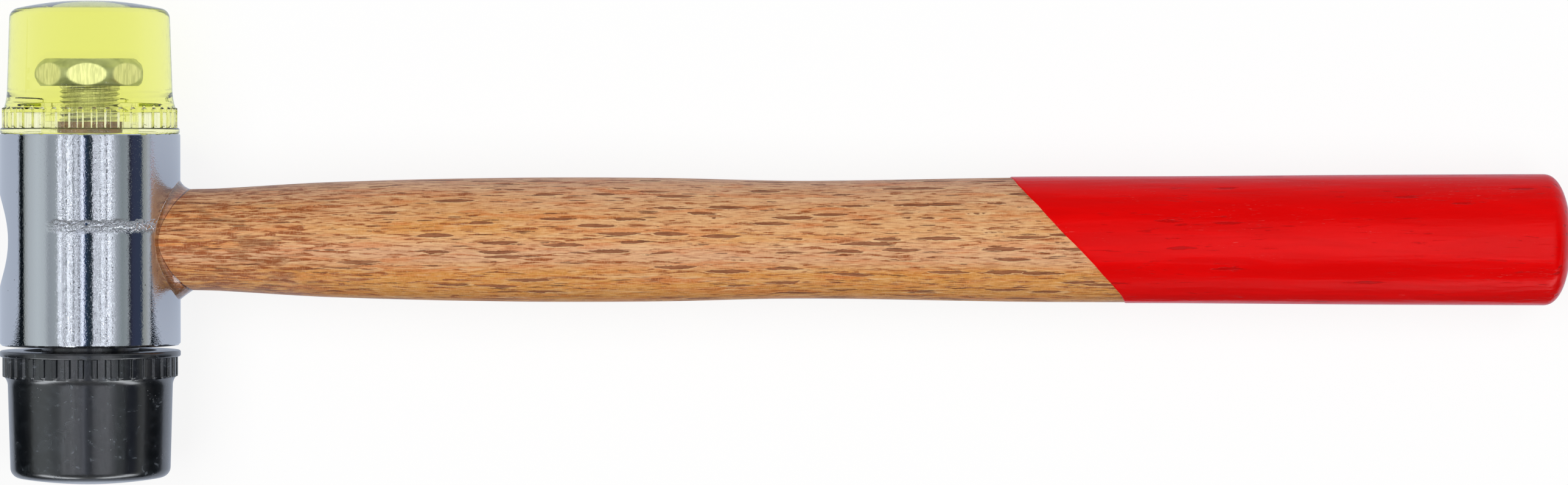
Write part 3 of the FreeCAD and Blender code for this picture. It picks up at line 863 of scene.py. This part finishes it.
def makeCoat(material):
    # A skin over the grip: its inside, a little within the wood, and its outside, which meet at its edge
    h, c = handle, coat
    turn = turnsRound(c["columns"])
    edge, domeStart = coatEdge(turn), h["reach"] - h["dome"]
    lead = c["rimRound"]
    outer, inner = [], []
    # The rim swells from the wood as a quarter of an oval
    for s in (0.0, 0.1, 0.25, 0.45, 0.7, 1.0):
        outer.append(ovalRows([edge + lead * s], turn, c["thick"] * math.sqrt(1 - (1 - s) ** 2))[0])
    for s in np.linspace(0, 1, 90)[1:]:
        outer.append(ovalRows([(edge + lead) * (1 - s) + domeStart * s], turn, c["thick"])[0])
    outer = np.concatenate([outer, ovalRows(domePlaces(c["thick"]), turn, c["thick"])])
    for s in np.linspace(0, 1, 24):
        inner.append(ovalRows([(edge + 0.1) * (1 - s) + domeStart * s], turn, -c["sunk"])[0])
    inner = np.concatenate([inner, ovalRows(domePlaces(-c["sunk"], 12), turn, -c["sunk"])])
    poles = toFrame(np.array([h["reach"] - c["sunk"], h["reach"] + c["thick"]]), 0.0, 0.0)
    return tubePiece("gripCoat", np.concatenate([inner[::-1], outer]), poles, material)


wedge = {"length": 12.0, "thick": 2.6, "thin": 0.8, "proud": 0.25, "round": 0.12}


def makeWedge(material):
    # Slices of a tapering slip, each bounded by its two flat sides and by the tenon's oval
    w = wedge
    start = handle["tenonEnd"] - w["proud"]
    side = np.linspace(-1, 1, 25)[:-1]
    end = np.linspace(-1, 1, 9)[:-1]
    # Round the slice: along its upper side, over one end, back along its lower side, over the other
    swing = np.concatenate([side, 1 + 0 * end, -side, -1 + 0 * end])
    lift = np.concatenate([1 + 0 * side, -end, -1 + 0 * side, end])
    rows = []
    cuts = [(0.0, 1.0), (0.0, w["round"])] + [(share, 0.0) for share in (0.01, 0.25, 0.5, 0.75, 1.0)]
    for share, inset in cuts:
        along = start + w["length"] * share
        high, thick = handleHalves(np.array(max(along, handle["tenonEnd"])))
        up = lift * ((w["thick"] + (w["thin"] - w["thick"]) * share) / 2 - min(inset, 0.9))
        across = swing * ((high - 0.02) * np.sqrt(1 - (up / thick) ** 2) - inset)
        rows.append(toFrame(along + 0 * up, across, up))
    poles = toFrame(np.array([start, start + w["length"]]), 0.0, 0.0)
    return tubePiece("tenonWedge", np.array(rows), poles, material)


# The glue's foot lies on the steel and its reach is up the wood. It has sagged towards the black tip's side.
glueBead = {
    "columns": 192, "foot": 0.22, "footWander": 0.10, "footSag": 0.25, "footSunk": 0.03,
    "reach": 2.15, "leastReach": 0.25, "reachWander": 0.15, "sag": 0.5, "wallInset": 0.02, "woodSunk": 0.06,
    "hollow": 0.62, "hollowOut": 0.45, "sagFill": 0.85,
    "waves": ((0.5, 2, 0.6), (0.45, 3, 2.1), (0.35, 7, 0.0), (0.2, 13, 1.0)),
}


def makeGlue(material):
    # A ring of sections: along the eye's wall to its mouth, out over the edge, hollowed up to the wood, and
    # back in
    g, radius = glueBead, headBody["radius"]
    turn = turnsRound(g["columns"])
    c, s = np.cos(turn), np.sin(turn)

    def onMouth(out):
        # Where an oval grown by out from the eye's wall meets the steel's side
        along = radius + 0 * turn
        for _ in range(12):
            high, thick = eyeHalves(along)
            across, up = (high + out) * c, (thick + out) * s
            along = np.sqrt(radius**2 - up**2)
        return np.stack([along, across, up], -1)

    wander, low = wavesRound(turn, g["waves"]), np.clip(-c, 0, 1) ** 4
    foot = onMouth(g["foot"] + g["footWander"] * wander + g["footSag"] * low)
    foot[:, 0] -= g["footSunk"]
    mouth = onMouth(-g["wallInset"])
    share = g["leastReach"] + (1 - g["leastReach"]) * np.abs(c) ** 1.5
    reach = mouth[:, 0] + g["reach"] * share + g["reachWander"] * wander + g["sag"] * low
    high, thick = handleHalves(reach, -g["woodSunk"])
    contact = np.stack([reach, high * c, thick * s], -1)
    # Hollow between foot and contact, drawn towards the corner of wood and steel, less so where it sagged
    middle = (foot + contact) / 2
    high, thick = handleHalves(foot[:, 0])
    corner = np.stack([foot[:, 0] + g["hollowOut"], high * c, thick * s], -1)
    pull = middle + (corner - middle) * g["hollow"]
    pull = pull + (middle - pull) * (g["sagFill"] * low)[:, None]
    rows = [bowed(foot, pull, contact, t) for t in np.linspace(0, 1, 16)]
    start = handle["tenonEnd"]
    for t in np.linspace(0, 1, 14)[1:]:
        along = reach * (1 - t) + start * t
        high, thick = handleHalves(along, -g["woodSunk"])
        rows.append(np.stack([along, high * c, thick * s], -1))
    for t in np.linspace(0, 1, 14)[:-1]:
        along = start * (1 - t) + mouth[:, 0] * t
        high, thick = eyeHalves(along)
        rows.append(np.stack([along, (high - g["wallInset"]) * c, (thick - g["wallInset"]) * s], -1))
    rows.append(mouth)
    rows.append(mouth * 0.5 + foot * 0.5 - [0.06, 0, 0])
    piece = ringPiece("glueBead", toFrame(*np.moveaxis(np.array(rows), -1, 0)), material, 60)
    # Dark where the bead ends on the wood, and clear elsewhere
    dark = np.zeros((len(rows), g["columns"]))
    dark[11:18] = np.array([0.1, 0.3, 0.7, 1.0, 1.0, 1.0, 1.0])[:, None]
    markPoints(piece, "dark", dark.ravel())
    return piece


# Finishes of the tips, bolts and washers


def clearYellow():
    board = newBoard("clearYellow")
    # Faint flow lines round the mould, and fine scratches from use
    flow = board.noise((9, 1.6, 9), 1.0, 0.5, 1.0)
    scratch = board.noise((0.3, 5, 0.3), 1.0, 1.2, 4.0).between(0.70, 0.74)
    speck = 1 - board.fromDots(0.45).between(0.035, 0.05)
    height = flow * 1.5 + scratch * 0.3 - speck * 0.6
    glass = board.principled({
        "Base Color": colour(1, 1, 1), "Roughness": 0.015, "IOR": 1.49, "Transmission Weight": 1.0,
        "Normal": board.bump(height, 0.010),
    })
    tint = {"Color": colour(0.875, 0.895, 0.0), "Density": 52.0}
    volume = board.add("ShaderNodeVolumeAbsorption", {}, tint)
    return board.finish(board.lampsThrough(glass, colour(1, 1, 1)), volume)


def blackRubber():
    board = newBoard("blackRubber")
    cloud = board.noise((7, 5, 7), 4.0, 0.8, 2.0)
    grain = board.noise((0.28, 0.28, 0.28), 2.0, 0.0, 6.0)
    wash = board.noise((3.2, 2.4, 3.2), 4.0, 1.2, 15.0)
    # White dust in patches, pale rubbed places and short fine scratches
    dust = 1 - board.fromDots(1.5).between(0.04, 0.10)
    dust = dust * board.noise((4, 5, 4), 1.0, 0.0, 9.0).between(0.60, 0.68)
    scuff = board.noise((1.6, 1.0, 1.6), 3.0, 1.2, 13.0).between(0.52, 0.68) * wash.between(0.57, 0.64)
    scratch = board.noise((0.12, 2.4, 0.12), 1.0, 1.0, 14.0).between(0.69, 0.73)
    scratch = scratch * cloud.between(0.45, 0.6)
    base = board.layers(
        paint(3, 4, 6), (cloud.between(0.35, 0.65), paint(10, 12, 15)),
        (wash.between(0.50, 0.66) * 0.20, paint(58, 64, 70)),
        ((scuff * 0.45 + scratch * 0.4).clamped(), paint(110, 118, 126)), (dust, paint(205, 210, 214)),
    )
    return board.finish(board.principled({
        "Base Color": base, "Roughness": 0.21 + cloud * 0.10 + scuff * 0.1, "Specular IOR Level": 0.9,
        "Coat Weight": 0.4, "Coat Roughness": 0.12,
        "Normal": board.bump(grain * 0.7 + scuff * 0.8 + wash * 2, 0.014),
    }))


def boltSteel():
    # Zinc plate over a turned and forged bolt: upright tool marks on the head's sides
    board = newBoard("boltSteel")
    marks = board.noise((0.35, 3.2, 0.35), 2.0, 0.6, 3.0)
    patches = board.noise((2.5, 2.5, 2.5), 2.0, 0.5, 7.0)
    flats = board.mix(marks.between(0.36, 0.62), colour(0.72, 0.73, 0.68), colour(0.97, 0.97, 0.93))
    # The turned corners get a darker colour: painted shade for their darker reflections
    turned = board.mix(patches.between(0.35, 0.7), colour(0.62, 0.66, 0.60), colour(0.42, 0.46, 0.41))
    return board.finish(board.principled({
        "Base Color": board.mix(board.mark("turned"), flats, turned), "Metallic": 0.9,
        "Roughness": 0.30 + patches * 0.1, "Normal": board.bump(marks, 0.03),
    }))


def fibre():
    board = newBoard("fibre")
    pulp = board.noise((1.6, 0.3, 1.6), 3.0, 0.8, 5.0)
    base = board.mix(pulp.between(0.3, 0.7), paint(92, 52, 24), paint(150, 96, 50))
    return board.finish(board.principled({
        "Base Color": base, "Roughness": 0.75, "Normal": board.bump(pulp, 0.06),
    }))


# Finishes of the handle

woodTints = {
    "tan": paint(216, 162, 110), "gold": paint(210, 144, 66), "rose": paint(212, 164, 132),
    "deep": paint(146, 74, 30), "orange": paint(204, 110, 48), "pale": paint(236, 198, 148),
    "fleck": paint(146, 86, 54), "fleckRim": paint(96, 50, 26), "speck": paint(214, 84, 70),
    "grime": paint(112, 74, 44),
}


def flecks(board, cell, half, seed):
    # One lens in each cell of a stretched random pattern: 1 at its middle line and 0 at its outline. It is
    # one less the square of the distance along it less the distance across it, as shares of its half size.
    wander = board.noise((7, 2.2, 2.2), 1.0, 0.0, seed) * 0.9
    wander = wander + board.noise((1.0, 0.4, 0.4), 2.0, 0.0, seed) * 0.34
    drift = board.add("ShaderNodeCombineXYZ", {}, {"X": seed * 3.1, "Y": wander + seed * 1.7, "Z": wander})
    scaled = board.vector("DIVIDE", board.vector("ADD", board.space(), drift), cell)
    sockets = {"Vector": scaled, "Scale": 1.0, "Randomness": 0.95}
    position = board.add("ShaderNodeTexVoronoi", {}, sockets, out="Position")
    away = board.vector("SUBTRACT", scaled, position)
    gap = board.vector("MULTIPLY", away, [c / h for c, h in zip(cell, half)])
    x, y, z = board.parts(gap)
    chance = board.parts(position.other("Color"))[0]
    return 1 - x * x - (y * y + z * z) ** 0.5, chance, y


def handleWood():
    w = woodTints
    board = newBoard("handleWood")
    along, across = board.parts(board.space())[:2]
    broad = board.noise((45, 3.2, 3.2), 3.0, 0.4, 1.0)
    middle = board.noise((11, 0.8, 0.8), 4.0, 0.7, 2.0)
    fibres = board.noise((2.6, 0.22, 0.22), 3.0, 0.5, 3.0)
    ripple = board.noise((0.22, 0.7, 0.7), 1.0, 0.3, 4.0)
    neck = 1 - along.between(30, 62)
    gold = (broad + (1 - across.between(-12, 0)) * 0.30).between(0.46, 0.72)
    # A pale rosy belt below the middle, which is a painted highlight, orange belts above it, and short ragged
    # streaks, thickest at the neck
    highlightBelt = 1 - (across + 1.5 + broad * 3).size().between(0.6, 3.6)
    belts = board.noise((26, 1.5, 1.5), 2.0, 0.5, 27.0).between(0.52, 0.68)
    ragged = board.noise((5.5, 0.50, 0.50), 5.0, 0.9, 6.0) + neck * 0.08
    base = board.layers(
        w["tan"], (gold, w["gold"]), (across.between(2, 12) * 0.7, w["rose"]), (highlightBelt * 0.6, w["rose"]),
        (belts * 0.5, w["orange"]), (middle.between(0.52, 0.66) * 0.5, w["orange"]),
        ((1 - middle.between(0.30, 0.43)) * 0.45, w["pale"]), (ragged.between(0.545, 0.62) * 0.95, w["deep"]),
        (fibres.between(0.50, 0.66) * 0.34, w["pale"]), ((1 - fibres.between(0.34, 0.50)) * 0.50, w["deep"]),
        (ripple.between(0.5, 0.7) * 0.16, w["pale"]),
    )
    bigLens, bigChance, side = flecks(board, (11.0, 1.5, 1.5), (5.0, 0.40, 0.40), 1.3)
    smallLens, smallChance = flecks(board, (6.0, 0.8, 0.8), (2.6, 0.17, 0.17), 2.9)[:2]
    chosen = bigChance.between(0.14, 0.16) * (1 - neck * 0.85)
    big = (bigLens + fibres * 0.7 - 0.35).between(0.0, 0.25) * chosen
    # A painted highlight as a pale line along the lower edge of each, a dark one round it
    lit = bigLens.between(-0.45, -0.1) * (1 - big) * (1 - side.between(-0.5, 0.2)) * chosen
    rim = big * (1 - bigLens.between(0.10, 0.42))
    small = smallLens.between(0.0, 0.5) * smallChance.between(0.30, 0.32)
    inner = board.mix(fibres.between(0.35, 0.65), w["fleckRim"], w["fleck"])
    # Small spots of red from the dipping, and a neck darkened by hands and glue
    spots = board.noise((1.6, 0.4, 0.9), 2.0, 1.0, 17.0).between(0.69, 0.75)
    spots = spots * board.noise((18, 7, 18), 1.0, 0.0, 19.0).between(0.55, 0.6)
    grime = neck * board.noise((7, 1.6, 1.6), 3.0, 0.8, 23.0).between(0.48, 0.7)
    # Over the wood go the painted highlight under each big fleck, the flecks and their rims
    base = board.layers(
        base, (lit * 0.5, w["pale"]), (big * 0.88, board.mix(0.35, inner, w["fleck"])),
        (rim * 0.6, w["fleckRim"]), (small * 0.72, w["fleckRim"]), (spots * 0.6, w["speck"]),
        (grime * 0.4, w["grime"]),
    )
    height = fibres * 0.6 + ripple * 0.35 + middle * 0.4 - big * 0.7 - small * 0.7 + lit * 0.3
    return board.finish(board.principled({
        "Base Color": base, "Roughness": 0.42 + big * 0.1 - gold * 0.05, "Specular IOR Level": 0.35,
        "Normal": board.bump(height, 0.09),
    }))


def redCoat():
    board = newBoard("redCoat")
    # The grain shows through the dip: long swells, pores as short pits, and a fine crackle
    swell = board.noise((22, 2.4, 2.4), 2.0, 0.5, 7.0)
    grain = board.noise((5.0, 0.45, 0.45), 3.0, 0.8, 5.0)
    crackle = board.noise((0.9, 0.22, 0.22), 3.0, 0.6, 6.0)
    pits = grain.between(0.60, 0.70) * board.noise((25, 5, 5), 1.0, 0.0, 8.0).between(0.42, 0.56)
    lens, chance = flecks(board, (9.5, 1.9, 1.9), (3.9, 0.42, 0.42), 1.9)[:2]
    dents = (lens + crackle * 0.8 - 0.4).between(0.0, 0.5) * chance.between(0.62, 0.66)
    # Fine pale scratches, in patches
    scratch = board.noise((2.6, 0.16, 0.16), 2.0, 1.4, 11.0).between(0.66, 0.72)
    scratch = scratch * board.noise((16, 4, 16), 1.0, 0.0, 13.0).between(0.52, 0.62)
    # Dents and pits get a darker red: painted shade in these hollows, and partly the grain under the dip
    base = board.layers(
        paint(216, 0, 0), (swell.between(0.35, 0.7), paint(226, 1, 1)),
        ((dents + pits * 0.8).clamped() * 0.6, paint(160, 2, 2)), (scratch * 0.45, paint(240, 120, 115)),
    )
    height = swell * 4 + grain * 0.9 + crackle * 0.35 - dents * 1.3 - pits * 0.8 - scratch * 0.5
    return board.finish(board.principled({
        "Base Color": base, "Roughness": 0.17 + crackle * 0.06 + scratch * 0.25, "Specular IOR Level": 0.13,
        "Normal": board.bump(height, 0.04),
    }))


def amberGlue():
    board = newBoard("amberGlue")
    cloud = board.noise((1.6, 1.6, 1.6), 3.0, 1.0, 4.0)
    ripple = board.noise((0.7, 0.7, 0.7), 1.0, 1.5, 9.0)
    base = board.mix(cloud.between(0.35, 0.68), paint(246, 222, 190), paint(214, 168, 124))
    base = board.mix((board.mark("dark") + cloud * 0.4 - 0.2).between(0.3, 0.8), base, paint(92, 52, 26))
    glue = board.principled({
        "Base Color": base, "Roughness": 0.02, "IOR": 1.52, "Transmission Weight": 0.9, "Coat Weight": 1.0,
        "Normal": board.bump(ripple + cloud, 0.12),
    })
    return board.finish(board.lampsThrough(glue, paint(250, 236, 214)))


zinc, brown = boltSteel(), fibre()
dress(makeTip("yellowTip", yellowTip, clearYellow()), "yellow_tip", "yellow_tip")
dress(makeTip("blackTip", blackTip, blackRubber()), "black_tip", "black_tip")
dress(makeBolt("yellowBolt", yellowTip, zinc), "yellow_tip", "yellow_tip_bolt")
dress(makeBolt("blackBolt", blackTip, zinc), "black_tip", "black_tip_bolt")
for washer in ("yellow_tip_washer", "black_tip_washer"):
    for slot in frame["nodes"][washer].material_slots:
        slot.material = brown
print("tips made")
wood = handleWood()
dress(makeHandle(wood), "head", "handle")
dress(makeCoat(redCoat()), "head", "grip_coating")
dress(makeWedge(wood), "head", "handle_wedge")
dress(makeGlue(amberGlue()), "head", "glue_joint")
print("handle made")
